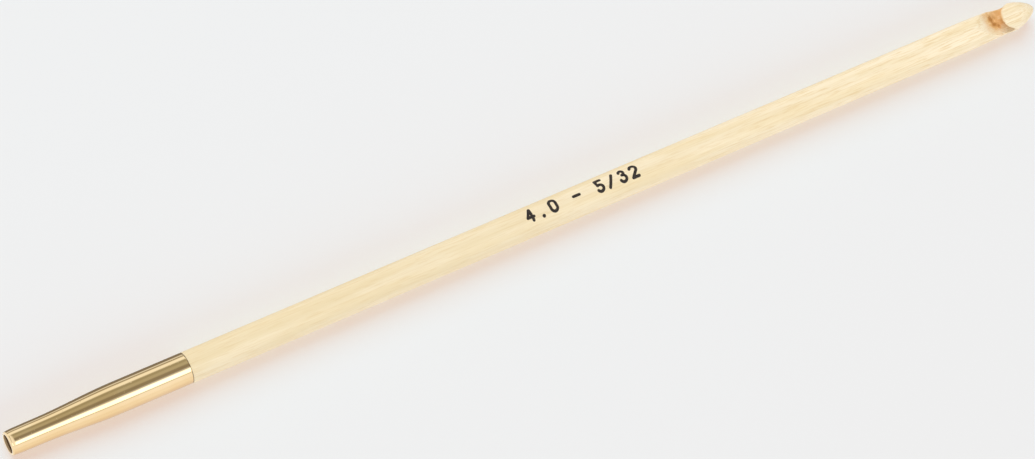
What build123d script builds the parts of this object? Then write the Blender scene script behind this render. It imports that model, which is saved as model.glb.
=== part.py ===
"""Screw-on crochet hook, 4 mm size: a carved bamboo hook glued into a turned metal ferrule.

Millimetres. The shaft lies along X. The origin is the centre of the ferrule's mouth, where a
cable or a handle screws in, the hook's tip points along +X, and the throat opens towards +Z.
"""

from build123d import *
import math
import os

# Overall sizes
overall_length = 150.0  # ferrule mouth to hook tip
shaft_diameter = 4.0  # the hook's size, and the ferrule's large end

# Ferrule, measured from its mouth
ferrule_length = 23.6
mouth_diameter = 3.10
nose_diameter = 3.22  # where the nearly straight nose ends and the flare begins
nose_length = 4.4
flare_end = 14.4  # where the ferrule reaches the shaft's diameter
ferrule_wall = 0.40  # round the bamboo tenon
socket_depth = 11.6
rim_radius = 0.20
edge_break = 0.04  # on both edges of the seam between ferrule and bamboo

# Screw socket in the ferrule's mouth, drawn as its tapping bore
thread_diameter = 2.2
thread_pitch = 0.45
tapped_depth = 8.0  # from the mouth to the floor of the bore
relief_diameter = 2.36
relief_depth = thread_pitch  # the thread starts one turn in from the mouth

# Tenon and glue
glue_gap = 0.05  # all round the tenon
tenon_end_gap = 0.20
tenon_chamfer = 0.25

# Hook head and throat, measured back from the tip or down from the shaft's surface
head_length = 6.2  # lip to tip
head_step = 0.11  # the head is this much slimmer than the shaft, all round
head_crown = 3.5  # tip to the head's widest ring
tip_ring = 0.55  # a ring this far back from the tip sets how blunt the tip is
tip_bluntness = 1.25  # the ring's radius, as a share of its distance from the tip
throat_length = 4.0  # from the lip to where the scoop leaves the shaft's surface
throat_depth = 2.40
throat_entry_angle = 12.0  # degrees, the scoop's slope where it leaves the surface
throat_root_radius = 0.45
undercut_angle = 58.0  # degrees, how far the lip's inner face leans from upright
waist_step = 0.14  # the neck is this much slimmer than the shaft, all round
waist_start = 11.0
waist_end = 4.8
lip_round = 0.06

# Size figures printed on the shaft: 4.0 millimetres, or 5/32 of an inch
mark_figures = "4.0 - 5/32"
mark_start = 70.98  # from the ferrule's mouth
mark_angle = 16.0  # degrees round the shaft, from +Z towards +Y
figure_height = 1.90
figure_width = 1.25
figure_pitch = 1.70
stroke_width = 0.38
ink_thickness = 0.02

# Worked out from the sizes above
shaft_radius = shaft_diameter / 2
head_radius = shaft_radius - head_step
neck_radius = shaft_radius - waist_step
socket_radius = shaft_radius - ferrule_wall
tenon_radius = socket_radius - glue_gap
tap_radius = (thread_diameter - 1.0825 * thread_pitch) / 2  # half the standard minor diameter
socket_floor = ferrule_length - socket_depth
tenon_start = socket_floor + tenon_end_gap
lip_x = overall_length - head_length
throat_x = lip_x - throat_length
floor_z = shaft_radius - throat_depth
undercut = math.radians(undercut_angle)
entry = math.radians(throat_entry_angle)
cutter_reach = shaft_diameter  # how far a cut runs past the shaft


# hook_shaft: one stick of bamboo, turned to shape, then carved across at the throat
with BuildPart() as hook_shaft:
    with BuildSketch(Plane.XZ):
        with BuildLine():
            stick = Polyline(
                (tenon_start, 0),
                (tenon_start, tenon_radius - tenon_chamfer),
                (tenon_start + tenon_chamfer, tenon_radius),
                (ferrule_length, tenon_radius),
                (ferrule_length, shaft_radius - edge_break),
                (ferrule_length + edge_break, shaft_radius),
                (overall_length - waist_start, shaft_radius),
            )
            waist = Spline(
                stick @ 1,
                (overall_length - waist_end, neck_radius),
                tangents=[(1, 0), (1, 0)],
            )
            cheek = Spline(
                waist @ 1,
                (overall_length - head_crown, head_radius),
                tangents=[(1, 0), (1, 0)],
            )
            tip = Spline(
                cheek @ 1,
                (overall_length - tip_ring, tip_bluntness * tip_ring),
                (overall_length, 0),
                tangents=[(1, 0), (0, -1)],
            )
            Line(tip @ 1, stick @ 0)
        make_face()
    revolve(axis=Axis.X)

    # The throat: a long scoop down to the floor, a round root, and the lip's leaning inner face.
    # The face starts where the head is full, at the lip, and ends where the root arc takes over.
    root_top = throat_root_radius * (1 + math.sin(undercut))
    face_run = (head_radius - floor_z - root_top) * math.tan(undercut)
    root_x = lip_x + face_run - throat_root_radius * math.cos(undercut)
    with BuildSketch(Plane.XZ):
        with BuildLine():
            scoop = Spline(
                (throat_x, shaft_radius),
                (root_x, floor_z),
                tangents=[(math.cos(entry), -math.sin(entry)), (1, 0)],
            )
            root = JernArc(scoop @ 1, scoop % 1, throat_root_radius, 90 + undercut_angle)
            inner_face = PolarLine(root @ 1, cutter_reach, direction=root % 1)
            Polyline(inner_face @ 1, (throat_x, (inner_face @ 1).Y), scoop @ 0)
        make_face()
    extrude(amount=cutter_reach, both=True, mode=Mode.SUBTRACT)
    lip_edges = (
        hook_shaft.edges()
        .filter_by(GeomType.LINE, reverse=True)
        .filter_by_position(Axis.X, lip_x - lip_round, (root @ 1).X + lip_round)
        .filter_by_position(Axis.Z, (root @ 1).Y - lip_round, shaft_radius)
    )
    fillet(lip_edges, radius=lip_round)
hook_shaft.part.label = "hook_shaft"


# ferrule: turned brass, bored from both ends, with a solid web between the bores
with BuildPart() as ferrule:
    with BuildSketch(Plane.XZ):
        with BuildLine():
            nose = Polyline((0, 0), (0, mouth_diameter / 2), (nose_length, nose_diameter / 2))
            flare = Spline(
                nose @ 1,
                (flare_end, shaft_radius),
                tangents=[nose % 1, (1, 0)],
            )
            Polyline(
                flare @ 1,
                (ferrule_length - edge_break, shaft_radius),
                (ferrule_length, shaft_radius - edge_break),
                (ferrule_length, 0),
                nose @ 0,
            )
        make_face()
    revolve(axis=Axis.X)
    fillet(ferrule.edges().sort_by(Axis.X)[0], radius=rim_radius)
    with Locations(Plane(origin=(ferrule_length, 0, 0), z_dir=(1, 0, 0))):
        Hole(radius=socket_radius, depth=socket_depth)
    with Locations(Plane(origin=(0, 0, 0), z_dir=(-1, 0, 0))):
        CounterBoreHole(
            radius=tap_radius,
            counter_bore_radius=relief_diameter / 2,
            counter_bore_depth=relief_depth,
            depth=tapped_depth,
        )
ferrule.part.label = "ferrule"


# adhesive_bond: the glue that fills the socket round and behind the tenon
with BuildPart() as adhesive_bond:
    with BuildSketch(Plane.YZ.offset(socket_floor)):
        Circle(socket_radius)
    extrude(amount=socket_depth)
    add(hook_shaft.part, mode=Mode.SUBTRACT)
adhesive_bond.part.label = "adhesive_bond"


# The figures' middle lines fill a box of this size, standing on (0, 0), and the pen rounds them.
rise = figure_height - stroke_width
reach = figure_width - stroke_width
large_bowl = 0.29 * rise
small_bowl = rise / 2 - large_bowl
two_bowl = CenterArc((reach / 2, rise - reach / 2), reach / 2, -40, 200)
five_bowl = CenterArc((reach / 2, large_bowl), large_bowl, -150, 270)
figure_strokes = {
    "2": [
        two_bowl,
        Line((0, 0), two_bowl @ 0),
        Line((0, 0), (reach, 0)),
    ],
    "3": [
        CenterArc((reach / 2, rise - small_bowl), small_bowl, -90, 250),
        CenterArc((reach / 2, large_bowl), large_bowl, -160, 250),
    ],
    "4": [
        Line((0.75 * reach, 0), (0.75 * reach, rise)),
        Line((0.75 * reach, rise), (0, 0.3 * rise)),
        Line((0, 0.3 * rise), (reach, 0.3 * rise)),
    ],
    "5": [
        five_bowl,
        Line(five_bowl @ 1, (0.1 * reach, rise)),
        Line((0.1 * reach, rise), (reach, rise)),
    ],
    "-": [Line((0, rise / 2), (reach, rise / 2))],
    "/": [Line((0, 0), (reach, rise))],
}

# size_mark: the ink of the figures, a film that lies on the round of the shaft
with BuildPart() as size_mark:
    mark_normal = (0, math.sin(math.radians(mark_angle)), math.cos(math.radians(mark_angle)))
    with BuildSketch(Plane(origin=(0, 0, 0), x_dir=(1, 0, 0), z_dir=mark_normal)):
        for cell, figure in enumerate(mark_figures):
            with Locations((mark_start + cell * figure_pitch, -rise / 2)):
                for stroke in figure_strokes.get(figure, []):
                    SlotArc(stroke, height=stroke_width)
            if figure == ".":
                with Locations((mark_start + cell * figure_pitch + reach / 2, -rise / 2)):
                    Circle(0.6 * stroke_width)
            if figure == "0":
                with Locations((mark_start + cell * figure_pitch + reach / 2, 0)):
                    SlotOverall(figure_height, figure_width, rotation=90)
                    SlotOverall(
                        figure_height - 2 * stroke_width,
                        figure_width - 2 * stroke_width,
                        rotation=90,
                        mode=Mode.SUBTRACT,
                    )
    extrude(amount=shaft_diameter)
    with BuildSketch(Plane.YZ):
        Circle(shaft_radius + ink_thickness)
        Circle(shaft_radius, mode=Mode.SUBTRACT)
    extrude(amount=overall_length, mode=Mode.INTERSECT)
size_mark.part.label = "size_mark"


os.makedirs("parts", exist_ok=True)
for piece in (hook_shaft.part, ferrule.part, adhesive_bond.part, size_mark.part):
    export_step(piece, f"parts/{piece.label}.step")
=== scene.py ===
"""Studio picture of a screw-on bamboo crochet hook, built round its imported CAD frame.

Everything is in metres, in the frame's own axes: the ferrule's mouth at the origin, the hook's tip along
+X and the throat open towards +Z. The bamboo stick and the gilt ferrule are surfaces worked out with numpy,
the printed figures and the glue keep their CAD meshes, and each gets its own procedural finish.
"""

import logging
import math
from dataclasses import dataclass, field
from enum import Enum

import bmesh
import bpy
import numpy as np
from mathutils import Matrix, Vector
from numpy.typing import NDArray

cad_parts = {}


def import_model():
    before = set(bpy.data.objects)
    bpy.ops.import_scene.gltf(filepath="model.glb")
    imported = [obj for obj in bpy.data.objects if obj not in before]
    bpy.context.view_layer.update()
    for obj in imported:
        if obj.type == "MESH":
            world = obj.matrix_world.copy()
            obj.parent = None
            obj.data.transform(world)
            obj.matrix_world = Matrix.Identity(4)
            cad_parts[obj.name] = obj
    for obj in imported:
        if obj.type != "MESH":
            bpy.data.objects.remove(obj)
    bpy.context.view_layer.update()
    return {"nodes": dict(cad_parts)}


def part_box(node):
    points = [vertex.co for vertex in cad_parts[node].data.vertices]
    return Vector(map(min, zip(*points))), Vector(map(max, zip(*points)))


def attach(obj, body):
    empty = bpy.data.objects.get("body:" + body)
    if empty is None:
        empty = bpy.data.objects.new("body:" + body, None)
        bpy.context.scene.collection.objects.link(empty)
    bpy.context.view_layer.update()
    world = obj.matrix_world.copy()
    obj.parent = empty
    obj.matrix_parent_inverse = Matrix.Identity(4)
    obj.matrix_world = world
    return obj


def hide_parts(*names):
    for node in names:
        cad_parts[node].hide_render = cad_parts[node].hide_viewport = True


LOG = logging.getLogger("crochet_hook")
MM = 0.001
BODY = "root"

Array = NDArray[np.float64]
Colour = tuple[float, float, float]
Triple = tuple[float, float, float]
Socket = bpy.types.NodeSocket
Value = Socket | float | tuple[float, ...]


class Slot(Enum):
    """The record's material slots of the two modelled pieces."""

    BAMBOO = "bamboo"
    GOLD_PLATE = "gold_plate"


class Node(Enum):
    """The CAD nodes."""

    HOOK_SHAFT = "hook_shaft"
    FERRULE = "ferrule"
    ADHESIVE_BOND = "adhesive_bond"
    SIZE_MARK = "size_mark"


class Wrap(Enum):
    """Whether a grid's columns close on themselves, as round a tube."""

    OPEN = 0
    ROUND = 1


class Rim(Enum):
    """The two rims of the throat, in the order that crossings gives them."""

    SCOOP = 0
    FACE = 1


# ---------------------------------------------------------------------------------------------------------
# Grids, outlines and meshes
# ---------------------------------------------------------------------------------------------------------


def linear(red: int, green: int, blue: int) -> Colour:
    """Turns a display colour of 0 to 255 into scene-linear light.

    Args:
        red: Red, 0 to 255.
        green: Green, 0 to 255.
        blue: Blue, 0 to 255.

    Returns:
        The three linear values.
    """
    shown = np.array([red, green, blue]) / 255.0
    light = np.where(shown <= 0.04045, shown / 12.92, ((shown + 0.055) / 1.055) ** 2.4)
    return tuple(float(value) for value in light)


def ease(share: Array | float) -> Array:
    """Smooth step: 3 t squared less 2 t cubed, with t held between 0 and 1."""
    held = np.clip(share, 0.0, 1.0)
    return held * held * (3.0 - 2.0 * held)


def smooth_max(first: Array, second: Array, reach: float) -> Array:
    """The larger of two fields, with the crease where they cross rounded off.

    Within reach of each other, a quarter of reach times the square of the share of reach that is left is
    added to the larger field. Further apart, the larger field is unchanged.

    Args:
        first: One field.
        second: The other field.
        reach: How far apart the fields may be and still be blended.

    Returns:
        The blended field.
    """
    larger = np.maximum(first, second)
    share = np.clip(reach - np.abs(first - second), 0.0, None) / reach
    return larger + 0.25 * reach * share * share


def grid_faces(rows: int, columns: int, wrap: Wrap = Wrap.OPEN, start: int = 0) -> NDArray[np.int64]:
    """Four-cornered faces of a grid of points stored row after row.

    Args:
        rows: Number of rows.
        columns: Number of points in a row.
        wrap: Whether the last column joins the first.
        start: Number of the grid's first point.

    Returns:
        One line of four point numbers for each face.
    """
    row = np.arange(rows - 1)[:, None]
    column = np.arange(columns if wrap is Wrap.ROUND else columns - 1)[None, :]
    beside = (column + 1) % columns
    here, there = row * columns, (row + 1) * columns
    corners = (here + column, here + beside, there + beside, there + column)
    shape = (rows - 1, column.shape[1])
    return np.stack([np.broadcast_to(corner, shape) for corner in corners], axis=-1).reshape(-1, 4) + start


def tube(x: Array, radius: Array, angles: Array) -> Array:
    """Points x, radius times sine and radius times cosine of the angles from +Z towards +Y, ring by ring."""
    return np.stack([x, radius * np.sin(angles), radius * np.cos(angles)], axis=-1).reshape(-1, 3)


def mesh_object(
    name: str, points: Array, faces: NDArray[np.int64], merge: float = 0.0002 * MM
) -> bpy.types.Object:
    """Makes a smooth-shaded mesh object, with doubled points merged and faces turned outwards.

    Args:
        name: The object's name.
        points: One line of x, y and z for each point, in metres.
        faces: One line of four point numbers for each face.
        merge: Points closer than this become one, which closes seams and poles.

    Returns:
        The object, linked to the scene, at the origin.
    """
    mesh = bpy.data.meshes.new(name)
    mesh.vertices.add(len(points))
    mesh.vertices.foreach_set("co", points.astype(np.float32).ravel())
    mesh.loops.add(faces.size)
    mesh.loops.foreach_set("vertex_index", faces.astype(np.int32).ravel())
    mesh.polygons.add(len(faces))
    mesh.polygons.foreach_set("loop_start", np.arange(0, faces.size, 4, dtype=np.int32))
    mesh.update(calc_edges=True)
    shape = bmesh.new()
    shape.from_mesh(mesh)
    bmesh.ops.remove_doubles(shape, verts=shape.verts, dist=merge)
    bmesh.ops.recalc_face_normals(shape, faces=shape.faces)
    shape.to_mesh(mesh)
    shape.free()
    mesh.shade_smooth()
    item = bpy.data.objects.new(name, mesh)
    bpy.context.scene.collection.objects.link(item)
    return item


def mesh_points(item: bpy.types.Object) -> Array:
    """Reads back the points of an object's mesh.

    Args:
        item: The mesh object.

    Returns:
        One line of x, y and z for each point.
    """
    flat = np.zeros(len(item.data.vertices) * 3, np.float32)
    item.data.vertices.foreach_get("co", flat)
    return flat.reshape(-1, 3).astype(float)


def add_attribute(item: bpy.types.Object, name: str, values: Array) -> None:
    """Stores one number for each point of a mesh, under the name that its material reads."""
    attribute = item.data.attributes.new(name, "FLOAT", "POINT")
    attribute.data.foreach_set("value", values.astype(np.float32))


# ---------------------------------------------------------------------------------------------------------
# Finishes
# ---------------------------------------------------------------------------------------------------------


class Recipe:
    """A node tree being written: each method adds one node and returns its output socket."""

    def __init__(self, tree: bpy.types.NodeTree) -> None:
        """Keeps the tree to write in, and empties it."""
        self.tree = tree
        tree.nodes.clear()

    def node(
        self, kind: str, inputs: dict[str | int, Value] | None = None, **settings: str | bool
    ) -> bpy.types.Node:
        """Adds a node.

        Args:
            kind: The node's type name.
            inputs: Its inputs by name or number; a socket is linked and anything else is set as a value.
            **settings: Properties of the node itself.

        Returns:
            The node.
        """
        node = self.tree.nodes.new(kind)
        for key, value in settings.items():
            setattr(node, key, value)
        for key, value in (inputs or {}).items():
            if isinstance(value, bpy.types.NodeSocket):
                self.tree.links.new(value, node.inputs[key])
            elif isinstance(value, tuple) and len(value) == 3 and node.inputs[key].type == "RGBA":
                node.inputs[key].default_value = (*value, 1.0)
            else:
                node.inputs[key].default_value = value
        return node

    def math(self, operation: str, *values: Socket | float, clamp: bool = False) -> Socket:
        """Does a sum on numbers or sockets, and holds the result between 0 and 1 if clamp is set."""
        inputs = dict(enumerate(values))
        return self.node("ShaderNodeMath", inputs, operation=operation, use_clamp=clamp).outputs[0]

    def place(self, scale: Triple) -> Socket:
        """Object coordinates, stretched by a scale along each axis."""
        source = self.node("ShaderNodeTexCoord").outputs["Object"]
        return self.node("ShaderNodeMapping", {"Vector": source, "Scale": scale}).outputs[0]

    def station(self) -> Socket:
        """The place along the shaft, in metres from the ferrule's mouth."""
        return self.node("ShaderNodeSeparateXYZ", {"Vector": self.place((1.0, 1.0, 1.0))}).outputs["X"]

    def noise(self, where: Socket, detail: float = 2.0, rough: float = 0.5) -> Socket:
        """A noise field, 0 to 1, with so many finer layers, each that much as strong as the one before."""
        inputs = {"Vector": where, "Scale": 1.0, "Detail": detail, "Roughness": rough}
        return self.node("ShaderNodeTexNoise", inputs).outputs["Fac"]

    def spread(
        self, value: Socket, low: float, high: float, to_low: float = 0.0, to_high: float = 1.0
    ) -> Socket:
        """Maps low and high to to_low and to_high, smoothly between them and held outside."""
        inputs = {"Value": value, "From Min": low, "From Max": high, "To Min": to_low, "To Max": to_high}
        return self.node("ShaderNodeMapRange", inputs, interpolation_type="SMOOTHSTEP").outputs["Result"]

    def blend(
        self, share: Socket, first: Socket | Colour, second: Socket | Colour, mode: str = "MIX"
    ) -> Socket:
        """Mixes two colours.

        Args:
            share: How much of the second there is, 0 to 1.
            first: The first colour.
            second: The second colour.
            mode: How they mix.

        Returns:
            The mixed colour.
        """
        node = self.node("ShaderNodeMix", data_type="RGBA", blend_type=mode)
        for socket, value in zip((node.inputs[0], node.inputs[6], node.inputs[7]), (share, first, second)):
            if isinstance(value, bpy.types.NodeSocket):
                self.tree.links.new(value, socket)
            else:
                socket.default_value = (*value, 1.0)
        return node.outputs[2]

    def attribute(self, name: str) -> Socket:
        """A number stored on the mesh's points."""
        return self.node("ShaderNodeAttribute", attribute_name=name).outputs["Fac"]

    def bump(self, height: Socket, depth: float) -> Socket:
        """A normal bent by a height field that is depth metres deep."""
        return self.node("ShaderNodeBump", {"Height": height, "Distance": depth, "Strength": 1.0}).outputs[0]

    def surface(self, **inputs: Value) -> None:
        """Ends the tree in a Principled surface.

        Args:
            **inputs: The surface's inputs by name, with underscores for spaces.
        """
        named = {key.replace("_", " "): value for key, value in inputs.items()}
        shader = self.node("ShaderNodeBsdfPrincipled", named)
        self.node("ShaderNodeOutputMaterial", {"Surface": shader.outputs[0]})


class Finish:
    """A procedural material: each kind writes its own recipe."""

    name = "finish"

    def write(self, recipe: Recipe) -> None:
        """Writes the finish's nodes."""
        raise NotImplementedError

    def material(self) -> bpy.types.Material:
        """Makes the material.

        Returns:
            The material, with this finish's own node tree.
        """
        material = bpy.data.materials.new(self.name)
        material.use_nodes = True
        self.write(Recipe(material.node_tree))
        return material

    def dress(self, item: bpy.types.Object) -> None:
        """Gives an object this material in every one of its slots.

        Args:
            item: The mesh object.
        """
        material = self.material()
        if not item.material_slots:
            item.data.materials.append(material)
        for place in item.material_slots:
            place.material = material


@dataclass(frozen=True)
class BambooFinish(Finish):
    """Pale sanded bamboo: fibres run along X, so a cut across them shows their ends."""

    name = "pale_bamboo"
    light: Colour = linear(246, 230, 196)
    middle: Colour = linear(240, 221, 180)
    fibre: Colour = linear(228, 200, 146)
    hook_end: Colour = (1.10, 1.12, 1.19)
    scorch_pale: Colour = linear(230, 182, 116)
    scorch_dark: Colour = linear(172, 113, 44)
    # Colour at the shoulder's seam: partly glue and dirt in the joint, partly painted shade of the groove
    # between stick and ferrule.
    seam_dirt_and_shade: Colour = linear(92, 66, 40)
    roughness: float = 0.46
    broad_scale: Triple = (60.0, 900.0, 900.0)
    dash_scale: Triple = (330.0, 5200.0, 5200.0)
    thread_scale: Triple = (120.0, 9000.0, 9000.0)
    mottle_scale: Triple = (750.0, 1500.0, 1500.0)
    paler_from: float = 60.0 * MM
    paler_to: float = 142.0 * MM
    streaky_from: float = 80.0 * MM
    streaky_to: float = 135.0 * MM
    grain_depth: float = 0.012 * MM

    def write(self, recipe: Recipe) -> None:
        """Writes broad streaks, vascular fibres as fine dashes, the scorched throat, a seam darkened partly
        by dirt and partly by painted shade, and a satin surface.

        Towards the hook's end the fibres stand out more and the wood is paler.

        Args:
            recipe: The tree to write in.
        """
        broad = recipe.noise(recipe.place(self.broad_scale))
        dashes = recipe.noise(recipe.place(self.dash_scale), detail=3.0, rough=0.6)
        threads = recipe.noise(recipe.place(self.thread_scale))
        colour = recipe.blend(recipe.spread(broad, 0.35, 0.65), self.middle, self.light)
        along = recipe.station()
        streaky = recipe.spread(along, self.streaky_from, self.streaky_to, 0.4, 0.85)
        for fibres, share in ((dashes, 1.0), (threads, 0.6)):
            drawn = recipe.math("MULTIPLY", recipe.spread(fibres, 0.48, 0.7, 0.0, share), streaky)
            colour = recipe.blend(drawn, colour, self.fibre)
        paler = recipe.spread(along, self.paler_from, self.paler_to)
        colour = recipe.blend(paler, colour, self.hook_end, "MULTIPLY")

        scorch = recipe.attribute("scorch")
        mottle = recipe.noise(recipe.place(self.mottle_scale), detail=3.0, rough=0.6)
        stain = recipe.math("MULTIPLY", scorch, recipe.spread(mottle, 0.3, 0.65, 0.55, 1.25), clamp=True)
        colour = recipe.blend(recipe.spread(stain, 0.0, 0.5, 0.0, 0.9), colour, self.scorch_pale)
        colour = recipe.blend(recipe.spread(stain, 0.35, 1.0, 0.0, 0.9), colour, self.scorch_dark)
        # Darkens the shoulder's edge: partly dirt in the joint, partly painted shade of the groove at the
        # seam.
        colour = recipe.blend(recipe.attribute("seam"), colour, self.seam_dirt_and_shade)

        gloss = recipe.spread(dashes, 0.3, 0.7, self.roughness - 0.05, self.roughness + 0.09)
        coarse = recipe.math("MULTIPLY", dashes, 0.7)
        fine = recipe.math("MULTIPLY", threads, 0.3)
        grain = recipe.math("ADD", coarse, fine)
        recipe.surface(
            Base_Color=colour,
            Roughness=gloss,
            Normal=recipe.bump(grain, self.grain_depth),
            Coat_Weight=0.12,
            Coat_Roughness=0.3,
        )


@dataclass(frozen=True)
class GiltFinish(Finish):
    """Polished pale gold plating, its large end's rim darkened partly by dirt and partly by painted shade,
    with fine polishing lines round the axis.
    """

    name = "gold_plating"
    gold: Colour = linear(250, 226, 178)
    deep: Colour = linear(247, 220, 168)
    # Colour at the large end's rim: partly dirt, partly painted shade of the groove between ferrule and
    # stick.
    seam_dirt_and_shade: Colour = linear(70, 48, 28)
    bore: Colour = linear(150, 128, 98)
    cloud_scale: Triple = (260.0, 260.0, 260.0)
    line_scale: Triple = (14000.0, 300.0, 300.0)
    speck_scale: Triple = (5200.0, 5200.0, 5200.0)
    relief: float = 0.0006 * MM

    def write(self, recipe: Recipe) -> None:
        """Writes the plating's slow tint, polishing lines, specks of dust, the dull bore, and the seam
        darkened partly by dirt and partly by painted shade.

        Args:
            recipe: The tree to write in.
        """
        cloud = recipe.noise(recipe.place(self.cloud_scale))
        lines = recipe.noise(recipe.place(self.line_scale))
        specks = recipe.noise(recipe.place(self.speck_scale), detail=0.0)
        colour = recipe.blend(recipe.spread(cloud, 0.3, 0.7), self.gold, self.deep)
        inside = recipe.attribute("bore")
        colour = recipe.blend(inside, colour, self.bore)
        # Darkens the large end's rim: partly dirt, partly painted shade of the seam's groove.
        colour = recipe.blend(recipe.attribute("seam"), colour, self.seam_dirt_and_shade)
        dust = recipe.spread(specks, 0.79, 0.83)
        polish = recipe.spread(lines, 0.3, 0.7, 0.04, 0.07)
        gloss = recipe.math("ADD", polish, recipe.math("MULTIPLY", dust, 0.3))
        gloss = recipe.math("ADD", gloss, recipe.math("MULTIPLY", inside, 0.22))
        recipe.surface(
            Base_Color=colour,
            Metallic=1.0,
            Roughness=gloss,
            Normal=recipe.bump(recipe.math("ADD", lines, dust), self.relief),
        )


@dataclass(frozen=True)
class InkFinish(Finish):
    """Matt black printing ink, thin enough for the fibres to show through as paler threads."""

    name = "printing_ink"
    ink: Colour = linear(34, 28, 26)
    thin: Colour = linear(92, 76, 60)
    thread_scale: Triple = (400.0, 9000.0, 9000.0)
    speck_scale: Triple = (6000.0, 6000.0, 6000.0)
    relief: float = 0.004 * MM

    def write(self, recipe: Recipe) -> None:
        """Writes ink that is thinner along the fibres and in small specks.

        Args:
            recipe: The tree to write in.
        """
        threads = recipe.noise(recipe.place(self.thread_scale))
        specks = recipe.noise(recipe.place(self.speck_scale))
        worn = recipe.math("MAXIMUM", recipe.spread(threads, 0.55, 0.75), recipe.spread(specks, 0.6, 0.72))
        colour = recipe.blend(recipe.math("MULTIPLY", worn, 0.6), self.ink, self.thin)
        recipe.surface(Base_Color=colour, Roughness=0.6, Normal=recipe.bump(specks, self.relief))


@dataclass(frozen=True)
class GlueFinish(Finish):
    """Cured amber adhesive with a few clouds."""

    name = "cured_adhesive"
    amber: Colour = linear(176, 132, 72)
    cloudy: Colour = linear(200, 168, 112)
    cloud_scale: Triple = (1200.0, 1200.0, 1200.0)
    relief: float = 0.01 * MM

    def write(self, recipe: Recipe) -> None:
        """Writes slow clouds in the amber.

        Args:
            recipe: The tree to write in.
        """
        cloud = recipe.noise(recipe.place(self.cloud_scale), detail=3.0)
        colour = recipe.blend(recipe.spread(cloud, 0.35, 0.7), self.amber, self.cloudy)
        recipe.surface(Base_Color=colour, Roughness=0.3, Normal=recipe.bump(cloud, self.relief))


@dataclass(frozen=True)
class TableFinish(Finish):
    """A pale table with a faint warm glow of its own, so that shadows on it stay light and peach-coloured."""

    name = "pale_table"
    lit: Colour = (0.185, 0.515, 0.64)
    glow: Colour = (0.68, 0.35, 0.225)
    cloud_shade: float = 0.985
    cloud_scale: Triple = (12.0, 12.0, 12.0)

    def write(self, recipe: Recipe) -> None:
        """Writes a barely clouded matt surface whose lit and glowing shares add up to a plain pale grey.

        Args:
            recipe: The tree to write in.
        """
        cloud = recipe.noise(recipe.place(self.cloud_scale))
        darker = tuple(self.cloud_shade * value for value in self.lit)
        recipe.surface(
            Base_Color=recipe.blend(cloud, self.lit, darker),
            Roughness=0.9,
            Specular_IOR_Level=0.0,
            Emission_Color=(*self.glow, 1.0),
            Emission_Strength=1.0,
        )


# ---------------------------------------------------------------------------------------------------------
# Pieces
# ---------------------------------------------------------------------------------------------------------


@dataclass(frozen=True)
class ScorchSpot:
    """One brown spot on the throat's skin, in millimetres back from the lip and across towards +Y."""

    strength: float
    back: float
    side: float
    back_reach: float
    side_reach: float

    def cover(self, back: Array, side: Array) -> Array:
        """The spot's share at each point: its strength times a bell curve of the distance from its middle."""
        far = ((back - self.back) / self.back_reach) ** 2 + ((side - self.side) / self.side_reach) ** 2
        return self.strength * np.exp(-far)


@dataclass(frozen=True)
class RimSide:
    """One side's columns round the stick: from the top along a rim to its corner, then on to the keel."""

    angles: Array
    stations: Array
    edge: Array


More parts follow.
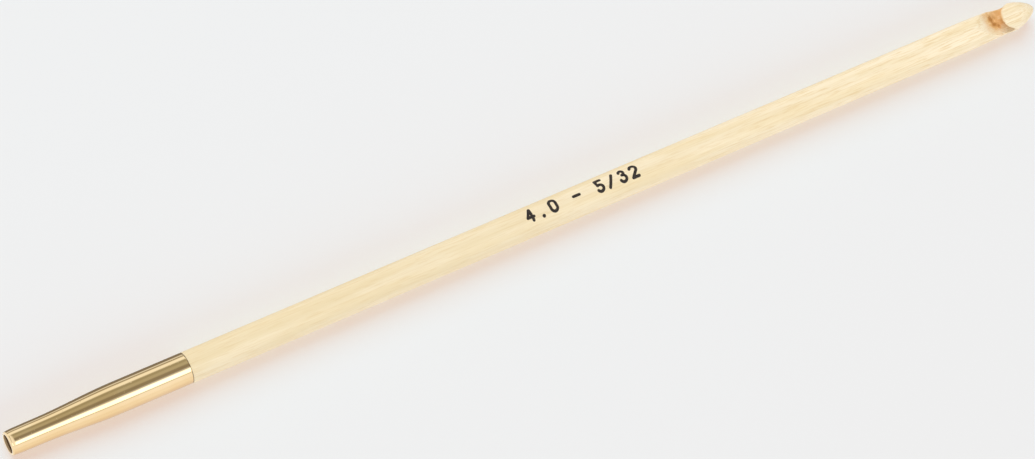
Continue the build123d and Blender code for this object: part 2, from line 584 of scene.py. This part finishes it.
@dataclass
class HookShaft:
    """The bamboo stick: tenon, straight shaft, waist, carved throat, lip and head in one piece."""

    length: float
    radius: float
    tenon_start: float
    shoulder: float
    tenon_radius: float = 1.55 * MM
    tenon_chamfer: float = 0.25 * MM
    edge_break: float = 0.05 * MM
    head_length: float = 6.2 * MM
    head_radius: float = 1.89 * MM
    crown: float = 3.5 * MM
    nose_fullness: float = 1.4
    nose_roundness: float = 1.6
    waist_step: float = 0.14 * MM
    waist_start: float = 11.0 * MM
    waist_end: float = 4.8 * MM
    throat_length: float = 4.0 * MM
    throat_depth: float = 2.40 * MM
    entry: float = math.radians(12.0)
    scoop_lean: float = math.radians(9.0)
    floor_end: float = 2.1 * MM
    undercut: float = math.radians(58.0)
    root_reach: float = 1.1 * MM
    edge_reach: float = 0.19 * MM
    scorch_skin: float = 0.3 * MM
    scorch_spots: tuple[ScorchSpot, ...] = (
        ScorchSpot(strength=0.66, back=0.45, side=0.85, back_reach=0.62, side_reach=0.38),
        ScorchSpot(strength=0.58, back=0.35, side=0.02, back_reach=0.50, side_reach=0.32),
        ScorchSpot(strength=0.45, back=-0.35, side=-0.55, back_reach=0.30, side_reach=0.28),
    )
    plain_rings: int = 70
    near_rings: int = 60
    head_rings: int = 81
    rim_columns: int = 57
    keel_columns: int = 25
    throat_columns: int = 41
    corner_bunching: float = 1.7
    throat_bunching: float = 1.5
    tip_bunching: float = 1.35
    sweep_steps: int = 2881
    station_steps: int = 3000
    newton_steps: int = 12
    finish: BambooFinish = field(default_factory=BambooFinish)

    def outline(self, x: Array) -> Array:
        """The turned radius before carving.

        The shaft is straight. The waist eases in by waist_step, the cheek eases out to the head's radius, and
        the nose is the head's radius times (1 - t^fullness)^(1 / roundness), t running from crown to tip.

        Args:
            x: Stations along the axis.

        Returns:
            The radius at each station.
        """
        back = self.length - x
        narrowing = ease((self.waist_start - back) / (self.waist_start - self.waist_end))
        widening = ease((self.waist_end - back) / (self.waist_end - self.crown))
        waist = self.radius - self.waist_step * narrowing
        neck = self.radius - self.waist_step
        cheek = neck + (self.head_radius - neck) * widening
        share = np.clip(1.0 - back / self.crown, 0.0, 1.0)
        nose = self.head_radius * (1.0 - share**self.nose_fullness) ** (1.0 / self.nose_roundness)
        return np.where(back > self.waist_end, waist, np.where(back > self.crown, cheek, nose))

    @property
    def lip(self) -> float:
        """The lip's place along the axis."""
        return self.length - self.head_length

    def floor_height(self, x: Array) -> Array:
        """The scoop's height: a cubic from the entry slope at the shaft's surface to the level floor.

        With t running 0 to 1 from the throat's start to the floor's end, the height is the surface less the
        throat's depth times (3 t squared less 2 t cubed), less the entry slope times t (1 - t) squared.

        Args:
            x: Stations along the axis.

        Returns:
            The height above the axis at each station.
        """
        start = self.lip - self.throat_length
        run = self.throat_length + self.floor_end
        share = (x - start) / run
        held = np.clip(share, 0.0, 1.0)
        slope = math.tan(self.entry)
        before = slope * run * np.clip(-share, 0.0, None)
        return self.radius + before - self.throat_depth * ease(held) - slope * run * held * (1.0 - held) ** 2

    def void(self, x: Array, y: Array, z: Array) -> Array:
        """Signed distance into the throat's open space, negative inside it.

        The space is above the scoop, which leans a little towards +Y as carving left it, and on the
        ferrule's side of the lip's inner face, a plane that leans from upright by the undercut angle. The
        two meet in a round root.

        Args:
            x: Stations along the axis.
            y: Distances across the throat.
            z: Heights.

        Returns:
            The distance at each point.
        """
        over_floor = self.floor_height(x) - z * math.cos(self.scoop_lean) - y * math.sin(self.scoop_lean)
        face = (x - self.lip) * math.cos(self.undercut) + (z - self.head_radius) * math.sin(self.undercut)
        return smooth_max(over_floor, face, self.root_reach)

    def skin(self, points: Array) -> Array:
        """The carved stick's field, zero on its surface: the turned shape less the throat, edges rounded."""
        turned = np.hypot(points[:, 1], points[:, 2]) - self.outline(points[:, 0])
        return smooth_max(turned, -self.void(*points.T), self.edge_reach)

    def settle(self, points: Array) -> Array:
        """Moves points near the throat onto the skin by Newton steps along the field's slope.

        Args:
            points: One line of x, y and z for each point.

        Returns:
            The settled points, in the same order.
        """
        back = self.length - points[:, 0]
        near = (back < self.waist_start) & (back > 0.3 * self.crown)
        moved = points[near]
        probe = 0.002 * MM
        damping, least_slope = 0.8, 0.05
        for _ in range(self.newton_steps):
            value = self.skin(moved)
            ahead = np.stack([self.skin(moved + probe * axis) for axis in np.eye(3)], axis=1)
            slope = (ahead - value[:, None]) / probe
            stride = damping * value / np.maximum((slope**2).sum(axis=1), least_slope)
            moved = moved - stride[:, None] * slope
        settled = points.copy()
        settled[near] = moved
        return settled

    def crossings(self, angles: Array) -> tuple[Array, Array]:
        """Where the throat's open space begins and ends along the turned outline.

        Args:
            angles: Directions round the stick, from +Z towards +Y.

        Returns:
            For each angle the stations of the scoop's rim and of the inner face's rim, not a number where
            the space doesn't reach.
        """
        x_from = self.lip - 1.2 * self.throat_length
        x = np.linspace(x_from, self.length - 0.4 * self.crown, self.station_steps)
        radius = self.outline(x)[None, :]
        y = radius * np.sin(angles)[:, None]
        z = radius * np.cos(angles)[:, None]
        hollow = self.void(x[None, :], y, z) < 0.0
        first = np.argmax(hollow, axis=1)
        last = len(x) - 1 - np.argmax(hollow[:, ::-1], axis=1)
        reached = hollow.any(axis=1)
        return np.where(reached, x[first], np.nan), np.where(reached, x[last], np.nan)

    def corners(self) -> tuple[tuple[float, float], tuple[float, float]]:
        """Where the scoop's rim and the inner face's rim meet, on the +Y side and on the -Y side.

        Returns:
            Each corner's angle from +Z towards +Y, and its station.
        """
        sweep = np.linspace(-math.pi, math.pi, self.sweep_steps)
        starts, ends = self.crossings(sweep)
        reached = np.flatnonzero(~np.isnan(starts))
        middle = 0.5 * (starts + ends)
        return tuple((sweep[row], middle[row]) for row in (reached[-1], reached[0]))

    def rim_side(self, rim: Rim, corner: tuple[float, float], keel_x: float) -> RimSide:
        """One side's columns, closer together towards the corner.

        Args:
            rim: Which rim they start from.
            corner: That side's corner, its angle and station.
            keel_x: The station where the columns end under the stick.

        Returns:
            The columns' angles and stations, and the points of the rim itself.
        """
        apex = self.scoop_lean if rim is Rim.SCOOP else 0.0
        corner_angle, corner_x = corner
        half_turn = math.copysign(math.pi, corner_angle)
        down = 1.0 - (1.0 - np.linspace(0.0, 1.0, self.rim_columns)) ** self.corner_bunching
        below = np.linspace(0.0, 1.0, self.keel_columns + 1)[1:]
        rim_angles = apex + (corner_angle - apex) * down
        rim_x = self.crossings(rim_angles)[rim.value]
        rim_x[-1] = corner_x
        radius = self.outline(rim_x)
        return RimSide(
            angles=np.concatenate([rim_angles, corner_angle + (half_turn - corner_angle) * below]),
            stations=np.concatenate([rim_x, corner_x + (keel_x - corner_x) * ease(below)]),
            edge=np.stack([rim_x, radius * np.sin(rim_angles), radius * np.cos(rim_angles)], axis=1),
        )

    def straight(self) -> tuple[Array, Array]:
        """The turned part with no carving: tenon end, chamfer, shoulder and straight shaft up to the waist.

        Returns:
            Stations and radii from the tenon's end.
        """
        chamfered = self.tenon_start + self.tenon_chamfer
        x = np.concatenate([
            [self.tenon_start, self.tenon_start, chamfered, self.shoulder, self.shoulder],
            self.shoulder + self.edge_break * np.array([1.0, 1.6, 4.0]),
            np.linspace(self.shoulder + 1 * MM, self.length - self.waist_start, self.plain_rings),
        ])
        r = np.full(len(x), self.radius)
        r[:4] = [0.0, self.tenon_radius - self.tenon_chamfer, self.tenon_radius, self.tenon_radius]
        r[4] -= self.edge_break
        return x, r

    def build(self) -> bpy.types.Object:
        """Builds the stick from three grids that share their rims: shaft side, head side and throat.

        The rims run from the top to a corner on each side, where the scoop's rim and the inner face's meet.
        Below the corners the shaft side and the head side share their columns.

        Returns:
            The dressed stick.
        """
        corners = self.corners()
        keel_x = 0.5 * (corners[0][1] + corners[1][1])
        scoop_plus, scoop_minus = (self.rim_side(Rim.SCOOP, corner, keel_x) for corner in corners)
        face_plus, face_minus = (self.rim_side(Rim.FACE, corner, keel_x) for corner in corners)
        shaft_angles = np.concatenate([scoop_plus.angles, scoop_minus.angles[-2:0:-1]])
        shaft_end = np.concatenate([scoop_plus.stations, scoop_minus.stations[-2:0:-1]])
        head_angles = np.concatenate([face_plus.angles, face_minus.angles[-2:0:-1]])
        head_start = np.concatenate([face_plus.stations, face_minus.stations[-2:0:-1]])

        plain_x, plain_r = self.straight()
        waist_x = self.length - self.waist_start
        along = 1.0 - (1.0 - np.linspace(0.0, 1.0, self.near_rings + 1)[1:]) ** self.throat_bunching
        near_x = waist_x + along[:, None] * (shaft_end - waist_x)[None, :]
        columns = len(shaft_angles)
        shaft_x = np.concatenate([np.repeat(plain_x[:, None], columns, axis=1), near_x])
        shaft_r = np.concatenate([np.repeat(plain_r[:, None], columns, axis=1), self.outline(near_x)])

        ahead = np.linspace(0.0, 1.0, self.head_rings)
        ahead = 0.5 * (ahead**self.tip_bunching + np.sin(0.5 * math.pi * ahead))
        head_x = head_start[None, :] + ahead[:, None] * (self.length - head_start)[None, :]

        plus_edge = np.concatenate([scoop_plus.edge, face_plus.edge[-2::-1]])
        minus_edge = np.concatenate([scoop_minus.edge, face_minus.edge[-2::-1]])
        across = 0.5 + 0.5 * np.sin(0.5 * math.pi * np.linspace(-1.0, 1.0, self.throat_columns))
        cut = minus_edge[:, None, :] + across[None, :, None] * (plus_edge - minus_edge)[:, None, :]

        sheets = [
            tube(shaft_x, shaft_r, shaft_angles),
            tube(head_x, self.outline(head_x), head_angles),
            cut.reshape(-1, 3),
        ]
        starts = np.cumsum([0] + [len(sheet) for sheet in sheets])
        faces = np.concatenate([
            grid_faces(*shaft_x.shape, Wrap.ROUND, int(starts[0])),
            grid_faces(*head_x.shape, Wrap.ROUND, int(starts[1])),
            grid_faces(*cut.shape[:2], Wrap.OPEN, int(starts[2])),
        ])
        item = mesh_object("bamboo_hook", self.settle(np.concatenate(sheets)), faces)
        points = mesh_points(item)
        add_attribute(item, "scorch", self.scorch(points))
        # The seam mask marks the shoulder's edge, darkened partly by dirt and partly by painted shade of the
        # groove.
        add_attribute(item, "seam", 1.0 - ease((points[:, 0] - self.shoulder) / (0.9 * self.edge_break)))
        self.finish.dress(item)
        return item

    def scorch(self, points: Array) -> Array:
        """How brown the cutter's heat left each point: strongest on the throat's skin near its root.

        A broad tint grows from 3.3 to 0.4 mm behind the lip, and the spots are added to it. The sum fades
        to 0.4 of itself towards the -Y flank, and to a quarter there under the head, where it is sheltered.

        Args:
            points: The mesh's points.

        Returns:
            A share for each point, 0 clean to 1 darkest.
        """
        x, y, z = points.T
        depth = np.clip(1.0 - np.abs(self.void(x, y, z)) / self.scorch_skin, 0.0, 1.0)
        back = (self.lip - x) / MM
        side = y / MM
        tint = 0.42 * ease((3.3 - back) / 2.9)
        flank = 0.4 + 0.6 * ease((side + 1.3) / 1.0)
        sheltered = 1.0 - 0.75 * ease((-0.2 - back) / 0.8) * ease((-0.5 - side) / 0.6)
        spots = sum(spot.cover(back, side) for spot in self.scorch_spots)
        return depth * np.clip(flank * sheltered * (tint + spots), 0.0, 1.0)


@dataclass
class Ferrule:
    """The turned, gilt ferrule: nose, flare, socket for the tenon and a threaded mouth."""

    length: float
    radius: float
    mouth_radius: float = 1.57 * MM
    nose_radius: float = 1.61 * MM
    nose_length: float = 4.4 * MM
    flare_end: float = 14.4 * MM
    rim_length: float = 0.22 * MM
    rim_drop: float = 0.14 * MM
    nose_ease: float = 1.2 * MM
    nose_ease_drop: float = 0.09 * MM
    edge_break: float = 0.05 * MM
    socket_radius: float = 1.60 * MM
    socket_depth: float = 11.6 * MM
    relief_radius: float = 1.18 * MM
    relief_depth: float = 0.45 * MM
    thread_radius: float = 1.10 * MM
    tap_radius: float = 0.8564 * MM
    pitch: float = 0.45 * MM
    thread_end: float = 6.8 * MM
    thread_flat: float = 0.12
    thread_flank: float = 0.62
    tapped_depth: float = 8.0 * MM
    lead: float = 0.04 * MM
    around: int = 144
    rings_per_turn: int = 16
    finish: GiltFinish = field(default_factory=GiltFinish)

    def outer(self) -> tuple[Array, Array]:
        """The outside from the large end to the mouth's rim: straight, flared, nearly straight, rounded.

        Returns:
            Stations and radii.
        """
        straight = np.array([self.length, self.length - self.edge_break, self.length - 2.5 * self.edge_break])
        straight = np.concatenate([straight, np.linspace(self.length - 0.5 * MM, self.flare_end, 12)])
        straight_r = np.full(len(straight), self.radius)
        straight_r[0] -= self.edge_break
        flare = np.linspace(self.flare_end, self.nose_length, 60)[1:]
        slope = (self.nose_radius - self.mouth_radius) / self.nose_length
        share = (flare - self.nose_length) / (self.flare_end - self.nose_length)
        start_slope = slope * (self.flare_end - self.nose_length)
        flare_r = self.nose_radius + (self.radius - self.nose_radius) * ease(share)
        flare_r = flare_r + start_slope * share * (1.0 - share) ** 2
        nose = np.linspace(self.nose_length, self.rim_length, 41)[1:]
        eased = np.clip(1.0 - nose / self.nose_ease, 0.0, 1.0)
        nose_r = self.mouth_radius + slope * nose - self.nose_ease_drop * eased**2
        turn = np.linspace(0.0, 0.5 * math.pi, 13)[1:]
        rim = self.rim_length * (1.0 - np.sin(turn))
        rim_r = nose_r[-1] - self.rim_drop * (1.0 - np.cos(turn))
        stations = np.concatenate([straight, flare, nose, rim])
        return stations, np.concatenate([straight_r, flare_r, nose_r, rim_r])

    def thread(self, angles: Array) -> tuple[Array, Array]:
        """The helical thread inside the mouth.

        The radius at a station and angle is the tapping radius plus the thread's depth times a trapezium of
        the share of a turn, station over pitch less angle over a full turn. The trapezium's flat and flank
        are shares of half a turn. The thread fades out over one pitch at its inner end.

        Args:
            angles: The columns' angles.

        Returns:
            The rings' stations, and the radius at each ring and angle.
        """
        rings = self.rings_per_turn * int(self.thread_end / self.pitch) + 1
        x = np.linspace(self.relief_depth, self.thread_end, rings)
        turn = x[:, None] / self.pitch - angles[None, :] / (2.0 * math.pi)
        tooth = np.abs(2.0 * (turn % 1.0) - 1.0)
        shape = np.clip((tooth - self.thread_flat) / self.thread_flank, 0.0, 1.0)
        fade = ease((self.thread_end - x) / self.pitch)[:, None]
        return x, self.tap_radius + (self.thread_radius - self.tap_radius) * shape * fade

    def build(self) -> bpy.types.Object:
        """Builds one closed skin: socket floor, socket, large end, outside, rim, relief, thread, bore floor.

        Returns:
            The dressed ferrule.
        """
        angles = np.linspace(0.0, 2.0 * math.pi, self.around, endpoint=False)
        lead, relief = self.lead, self.relief_radius
        floor = self.length - self.socket_depth
        half = 0.5 * lead
        socket_x = np.array([floor, floor, floor + half, self.length - half, self.length, self.length])
        socket_r = self.socket_radius * np.array([0.0, 0.98, 1.0, 1.0, 1.0, 1.02])
        outer_x, outer_r = self.outer()
        mouth_x = np.array([0.0, 0.0, lead, self.relief_depth - lead, self.relief_depth])
        mouth_r = np.array([outer_r[-1] - lead, relief + lead, relief, relief, relief])
        thread_x, thread_r = self.thread(angles)
        depth = self.tapped_depth
        end_x = np.array([self.thread_end + lead, depth - lead, depth, depth])
        end_r = self.tap_radius * np.array([1.0, 1.0, 0.95, 0.0])

        flat_x = np.concatenate([socket_x, outer_x, mouth_x])
        flat_r = np.concatenate([socket_r, outer_r, mouth_r])
        x = np.concatenate([flat_x, thread_x, end_x])[:, None] + 0.0 * angles[None, :]
        r = np.concatenate([
            flat_r[:, None] + 0.0 * angles[None, :],
            thread_r,
            end_r[:, None] + 0.0 * angles[None, :],
        ])
        item = mesh_object("gilt_ferrule", tube(x, r, angles), grid_faces(*x.shape, Wrap.ROUND))
        place = mesh_points(item)
        reach = np.hypot(place[:, 1], place[:, 2])
        inside = (place[:, 0] < depth + lead) & (reach < relief + half)
        add_attribute(item, "bore", inside.astype(float))
        # The seam mask marks the large end's rim, darkened partly by dirt and partly by painted shade.
        to_end = (place[:, 0] - self.length + 1.2 * self.edge_break) / (0.8 * self.edge_break)
        add_attribute(item, "seam", ease(to_end))
        self.finish.dress(item)
        return item


@dataclass
class Hook:
    """The whole hook: two modelled pieces, and two CAD pieces with finishes of their own."""

    nodes: dict[str, bpy.types.Object]
    ink: InkFinish = field(default_factory=InkFinish)
    glue: GlueFinish = field(default_factory=GlueFinish)

    def build(self) -> None:
        """Builds and dresses every piece and lets it ride on the body."""
        stick_low, stick_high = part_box(Node.HOOK_SHAFT.value)
        ferrule_low, ferrule_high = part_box(Node.FERRULE.value)
        stick = HookShaft(
            length=stick_high.x, radius=-stick_low.z, tenon_start=stick_low.x, shoulder=ferrule_high.x
        ).build()
        self.seat(stick, Node.HOOK_SHAFT, Slot.BAMBOO)
        ferrule = Ferrule(length=ferrule_high.x, radius=-ferrule_low.z).build()
        self.seat(ferrule, Node.FERRULE, Slot.GOLD_PLATE)
        self.ink.dress(self.nodes[Node.SIZE_MARK.value])
        LOG.info("size_mark dressed in %s", self.ink.name)
        self.glue.dress(self.nodes[Node.ADHESIVE_BOND.value])
        LOG.info("adhesive_bond dressed in %s", self.glue.name)

    @staticmethod
    def seat(item: bpy.types.Object, node: Node, slot: Slot) -> None:
        """Makes a piece stand for its CAD node.

        Args:
            item: The piece.
            node: The CAD node that it replaces.
            slot: Not used.
        """
        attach(item, BODY)
        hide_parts(node.value)
        LOG.info("%s stands for %s with %d faces", item.name, node.value, len(item.data.polygons))


# ---------------------------------------------------------------------------------------------------------
# Studio
# ---------------------------------------------------------------------------------------------------------


@dataclass(frozen=True)
class Band:
    """One strip of the room as the metal mirrors it, between two angles from straight up towards -Y."""

    name: str
    start: float
    end: float
    light: Colour


@dataclass(frozen=True)
class Lamp:
    """A round soft light that faces the origin: its place and size in metres, and its power in watts."""

    name: str
    place: Triple
    size: float
    power: float


@dataclass
class Studio:
    """The pale table, the soft lights, the surroundings that the metal mirrors, and the camera."""

    floor_height: float
    camera_reach: float = 407.4 * MM
    camera_station: float = -86.7 * MM
    camera_height: float = math.radians(84.0)
    pan: float = math.radians(21.022)
    tilt: float = math.radians(-0.037)
    roll: float = math.radians(23.064)
    lens: float = 121.36
    table_size: float = 4.0
    lamps: tuple[Lamp, ...] = (
        Lamp("window", (-0.05, 0.86, 1.10), 1.3, 15.2),
        Lamp("fill", (0.25, -1.3, 0.50), 1.3, 11.3),
    )
    room_light: float = 0.345
    end_wall: Colour = (0.98, 0.97, 1.0)
    end_wall_from: float = 0.01
    end_wall_to: float = 0.06
    bands: tuple[Band, ...] = (
        Band("shade under the far flank", -180, -116, (0.24, 0.21, 0.18)),
        Band("table beyond", -107, -103, (0.85, 0.86, 0.92)),
        Band("table's far edge", -99, -91, (0.38, 0.34, 0.28)),
        Band("far wall", -83, -66, (1.0, 1.0, 1.02)),
        Band("far wall's top", -56, -44, (0.38, 0.35, 0.27)),
        Band("ceiling", -37, -24, (0.47, 0.44, 0.36)),
        Band("shade overhead", -15, 1, (0.285, 0.25, 0.205)),
        Band("soft box's rim", 9, 11, (0.60, 0.60, 0.70)),
        Band("soft box", 19, 39, (2.1, 2.1, 2.1)),
        Band("near wall's top", 44, 46, (0.60, 0.59, 0.60)),
        Band("near wall", 50, 70, (1.02, 0.99, 1.03)),
        Band("table's near edge", 83, 101, (0.96, 0.90, 0.88)),
        Band("table before", 124, 126, (0.86, 0.76, 0.72)),
        Band("shade under the near flank", 160, 180, (0.74, 0.64, 0.62)),
    )

    def build(self) -> None:
        """Sets the table, lights, surroundings and camera, with plain display colours."""
        self.table()
        self.lights()
        self.surroundings()
        self.camera()
        bpy.context.scene.view_settings.view_transform = "Standard"

    def table(self) -> None:
        """Lays the table just under the hook."""
        half = 0.5 * self.table_size
        corners = np.array([[-half, -half, 0], [half, -half, 0], [half, half, 0], [-half, half, 0]], float)
        corners[:, 2] = self.floor_height
        item = mesh_object("pale_table", corners, np.array([[0, 1, 2, 3]]))
        TableFinish().dress(item)
        item.visible_glossy = False

    def lights(self) -> None:
        """Hangs the soft lamps, which the metal doesn't mirror: it mirrors the bands instead."""
        for lamp in self.lamps:
            data = bpy.data.lights.new(lamp.name, "AREA")
            data.shape, data.size, data.energy = "DISK", lamp.size, lamp.power
            item = bpy.data.objects.new(lamp.name, data)
            item.location = lamp.place
            item.rotation_euler = (-Vector(lamp.place)).to_track_quat("-Z", "Y").to_euler()
            item.visible_glossy = False
            bpy.context.scene.collection.objects.link(item)

    def surroundings(self) -> None:
        """Lights the scene evenly from the room, and shows the metal the room's bands.

        A mirrored ray's band is its angle round the X axis from straight up towards -Y, as a share of a turn.
        Rays that head back along -X see the pale end wall instead.
        """
        world = bpy.data.worlds.new("studio")
        bpy.context.scene.world = world
        world.use_nodes = True
        recipe = Recipe(world.node_tree)
        direction = recipe.node("ShaderNodeTexCoord").outputs["Generated"]
        parts = recipe.node("ShaderNodeSeparateXYZ", {"Vector": direction})
        angle = recipe.math("ARCTAN2", recipe.math("MULTIPLY", parts.outputs["Y"], -1.0), parts.outputs["Z"])
        share = recipe.math("ADD", recipe.math("DIVIDE", angle, 2.0 * math.pi), 0.5)
        ramp = recipe.node("ShaderNodeValToRGB", {"Fac": share})
        elements = ramp.color_ramp.elements
        while len(elements) > 1:
            elements.remove(elements[0])
        elements[0].position = 0.0
        elements[0].color = (*self.bands[0].light, 1.0)
        for band in self.bands:
            for edge in (band.start, band.end):
                stop = elements.new(edge / 360.0 + 0.5)
                stop.color = (*band.light, 1.0)
        end_wall = recipe.spread(parts.outputs["X"], self.end_wall_from, self.end_wall_to, 1.0, 0.0)
        mirrored_colour = recipe.blend(end_wall, ramp.outputs["Color"], self.end_wall)
        even = recipe.node("ShaderNodeBackground", {"Color": (1.0, 1.0, 1.0), "Strength": self.room_light})
        mirrored = recipe.node("ShaderNodeBackground", {"Color": mirrored_colour, "Strength": 1.0})
        glossy = recipe.node("ShaderNodeLightPath").outputs["Is Glossy Ray"]
        mixed = recipe.node("ShaderNodeMixShader", {0: glossy, 1: even.outputs[0], 2: mirrored.outputs[0]})
        recipe.node("ShaderNodeOutputWorld", {"Surface": mixed.outputs[0]})

    def camera(self) -> None:
        """Places the camera: it stands off the axis at a height angle, pans along the shaft and rolls."""
        data = bpy.data.cameras.new("camera")
        data.sensor_width = 36.0
        data.lens = self.lens
        data.clip_start = 0.01
        item = bpy.data.objects.new("camera", data)
        right = Vector((math.cos(self.pan), -math.sin(self.pan), 0.0))
        forward = Vector((-right.y * math.cos(self.tilt), right.x * math.cos(self.tilt), math.sin(self.tilt)))
        up = right.cross(forward)
        level = Matrix((right, up, -forward)).transposed()
        level = level @ Matrix.Rotation(-self.roll, 3, "Z")
        turned = Matrix.Rotation(-self.camera_height, 3, "X") @ level
        place = Matrix.Rotation(-self.camera_height, 3, "X") @ Vector((0.0, -self.camera_reach, 0.0))
        place.x = self.camera_station
        item.matrix_world = Matrix.Translation(place) @ turned.to_4x4()
        bpy.context.scene.collection.objects.link(item)
        bpy.context.scene.camera = item


def main() -> None:
    """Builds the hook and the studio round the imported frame."""
    logging.basicConfig(level=logging.INFO, format="%(name)s: %(message)s")
    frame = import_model()
    Hook(nodes=frame["nodes"]).build()
    Studio(floor_height=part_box(Node.HOOK_SHAFT.value)[0].z).build()


if __name__ == "__main__":
    main()
